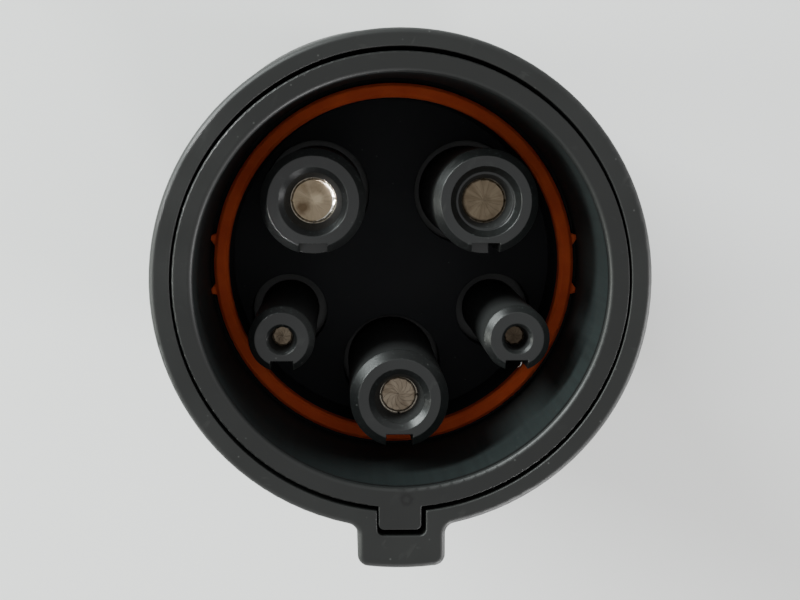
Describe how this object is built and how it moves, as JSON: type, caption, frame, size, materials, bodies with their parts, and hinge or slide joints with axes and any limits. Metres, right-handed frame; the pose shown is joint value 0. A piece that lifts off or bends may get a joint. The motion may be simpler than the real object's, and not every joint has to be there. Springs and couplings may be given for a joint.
{
  "type": "electric vehicle charging adapter",
  "caption": "Round charging adapter with a keyed plug nose, insulated female contacts and a slim rear inlet.",
  "frame": {"origin": "centre of the flat rear face that the part stands on", "axes": "+Z along the adapter's axis, out of the plug mouth; -Y towards the key rib; +X to the right of a person who looks into the mouth with the key rib at the bottom"},
  "size_m": [0.0512, 0.0512, 0.122],
  "materials": {
    "charcoal_plastic": "fine satin moulding texture",
    "cup_plastic": "fine satin moulding texture",
    "tube_plastic": "satin",
    "black_plastic": "matte",
    "socket_plastic": "matte",
    "cap_plastic": "satin",
    "orange_silicone": "matte silicone",
    "black_rubber": "matte",
    "silvered_copper": "silver plated, lightly worn",
    "spring_steel": "bright",
    "screw_steel": "zinc plated",
    "wire_cover_brown": "soft cover",
    "wire_cover_blue": "soft cover",
    "wire_cover_green": "soft cover",
    "wire_cover_white": "soft cover"
  },
  "bodies": {
    "root": {"front_housing": "charcoal_plastic", "inner_cup": "cup_plastic", "face_seal": "orange_silicone", "contact_carrier": "black_plastic", "contact_back_plate": "black_plastic", "back_plate_screws": "screw_steel", "rear_housing": "charcoal_plastic", "housing_seal_ring": "black_rubber", "housing_screws": "screw_steel", "inlet_socket": "socket_plastic", "inlet_gasket": "black_rubber", "inlet_screws": "screw_steel", "pin_retainer": "black_plastic", "retainer_screws": "screw_steel", "contact_tube_line_1": "tube_plastic", "contact_line_1": "silvered_copper", "contact_spring_line_1": "spring_steel", "wire_line_1": "wire_cover_brown", "contact_tube_line_2": "tube_plastic", "contact_line_2": "silvered_copper", "contact_spring_line_2": "spring_steel", "wire_line_2": "wire_cover_blue", "contact_tube_earth": "tube_plastic", "contact_earth": "silvered_copper", "contact_spring_earth": "spring_steel", "wire_earth": "wire_cover_green", "contact_tube_pilot": "tube_plastic", "contact_pilot": "silvered_copper", "contact_spring_pilot": "spring_steel", "wire_pilot": "wire_cover_white", "contact_tube_proximity": "tube_plastic", "contact_proximity": "silvered_copper", "contact_spring_proximity": "spring_steel", "wire_proximity": "wire_cover_white", "inlet_pin_power_1": "silvered_copper", "pin_cap_power_1": "cap_plastic", "inlet_pin_power_2": "silvered_copper", "pin_cap_power_2": "cap_plastic", "inlet_pin_ground": "silvered_copper", "pin_cap_ground": "cap_plastic", "inlet_pin_pilot": "silvered_copper", "pin_cap_pilot": "cap_plastic", "inlet_pin_proximity": "silvered_copper", "pin_cap_proximity": "cap_plastic"}
  },
  "joints": []
}
